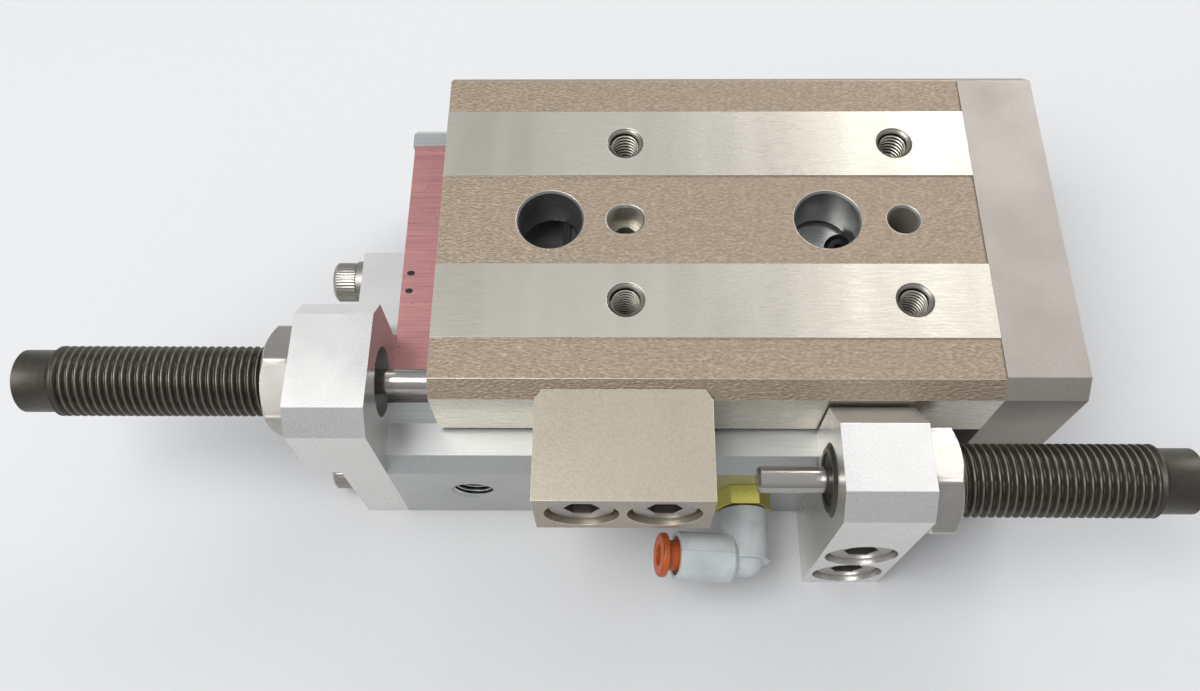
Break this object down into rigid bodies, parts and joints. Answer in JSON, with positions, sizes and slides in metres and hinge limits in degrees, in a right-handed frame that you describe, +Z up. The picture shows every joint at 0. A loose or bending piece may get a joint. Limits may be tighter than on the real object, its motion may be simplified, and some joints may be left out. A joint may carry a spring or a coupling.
{
  "type": "pneumatic slide table",
  "caption": "Dual-rod air cylinder slide table with a ball guide, end plate, stopper block, two threaded shock absorbers in holders and a swivel elbow push-in fitting.",
  "frame": {"origin": "middle of the cylinder body's length, on the guide centre line, at the mounting face", "axes": "+X along the stroke towards the end plate, +Y across away from the ports, +Z up from the mounting face to the table"},
  "size_m": [0.2223, 0.1022, 0.05],
  "materials": {
    "anodised_body": "clear anodised, machined top",
    "holder_plate": "satin nickel plated",
    "end_plate_anodised": "matte anodised",
    "table_steel": "textured face with ground strips",
    "stopper_plate": "satin plated",
    "guide_steel": "ground",
    "ball_steel": "polished",
    "rod_steel": "hard chrome",
    "piston_alu": "turned",
    "screw_steel": "nickel plated",
    "black_screw": "black oxide",
    "absorber_steel": "dark bronze-grey coating",
    "gland_steel": "turned",
    "nut_steel": "nickel plated",
    "cover_plastic": "moulded",
    "black_rubber": "matte",
    "brass": "turned",
    "grip_steel": "stamped",
    "elbow_plastic": "moulded, satin",
    "button_plastic": "moulded"
  },
  "bodies": {
    "base": {"cylinder_body": "anodised_body", "guide_block": "guide_steel", "guide_block_screws": "black_screw", "guide_end_cover_rear": "cover_plastic", "guide_end_cover_front": "cover_plastic", "guide_scraper_rear": "black_rubber", "guide_scraper_front": "black_rubber", "guide_cover_screws": "screw_steel", "near_ball_row": "ball_steel", "far_ball_row": "ball_steel", "near_rod_bushing": "brass", "far_rod_bushing": "brass", "rod_seals": "black_rubber", "bushing_o_rings": "black_rubber", "near_end_cap": "piston_alu", "far_end_cap": "piston_alu", "end_cap_o_rings": "black_rubber", "retaining_rings": "black_screw", "fitting_stud": "brass", "elbow_o_ring": "black_rubber", "rear_holder": "holder_plate", "rear_holder_screws": "screw_steel", "rear_holder_washers": "screw_steel", "rear_absorber_body": "absorber_steel", "rear_absorber_gland": "gland_steel", "rear_return_spring": "black_screw", "rear_lock_nut": "nut_steel", "front_holder": "holder_plate", "front_holder_screws": "screw_steel", "front_absorber_body": "absorber_steel", "front_absorber_gland": "gland_steel", "front_return_spring": "black_screw", "front_lock_nut": "nut_steel"},
    "table": {"table": "table_steel", "end_plate": "end_plate_anodised", "end_plate_screws": "black_screw", "rod_screws": "black_screw", "near_piston_rod": "rod_steel", "far_piston_rod": "rod_steel", "near_piston": "piston_alu", "far_piston": "piston_alu", "piston_seals": "black_rubber", "piston_nuts": "screw_steel", "stopper_block": "stopper_plate", "stopper_screws": "screw_steel"},
    "rear_rod": {"rear_plunger": "rod_steel"},
    "front_rod": {"front_plunger": "rod_steel"},
    "elbow": {"elbow_body": "elbow_plastic", "tube_guide_ring": "brass", "tube_grip_ring": "grip_steel", "tube_seal": "black_rubber"},
    "button": {"release_button": "button_plastic"}
  },
  "joints": [
    {"name": "rear_rod_slide", "type": "slide", "parent": "base", "child": "rear_rod", "axis": [1, 0, 0], "range_m": [-0.01, 0], "stiffness_N_per_m": 400, "deforming": ["rear_return_spring"]},
    {"name": "table_slide", "type": "slide", "parent": "rear_rod", "child": "table", "axis": [1, 0, 0], "range_m": [0, 0.019]},
    {"name": "front_rod_slide", "type": "slide", "parent": "base", "child": "front_rod", "axis": [1, 0, 0], "range_m": [0, 0.011], "deforming": ["front_return_spring"]},
    {"name": "elbow_swivel", "type": "hinge", "parent": "base", "child": "elbow", "pos_m": [0.0184, -0.055, 0.0143], "axis": [0, 1, 0], "range_deg": [-37, 18]},
    {"name": "button_press", "type": "slide", "parent": "elbow", "child": "button", "axis": [0.9781, 0, -0.2079], "range_m": [0, 0.001], "stiffness_N_per_m": 500}
  ],
  "couplings": [
    {"joint": "front_rod_slide", "follows": "table_slide", "ratio": 0.57895}
  ]
}
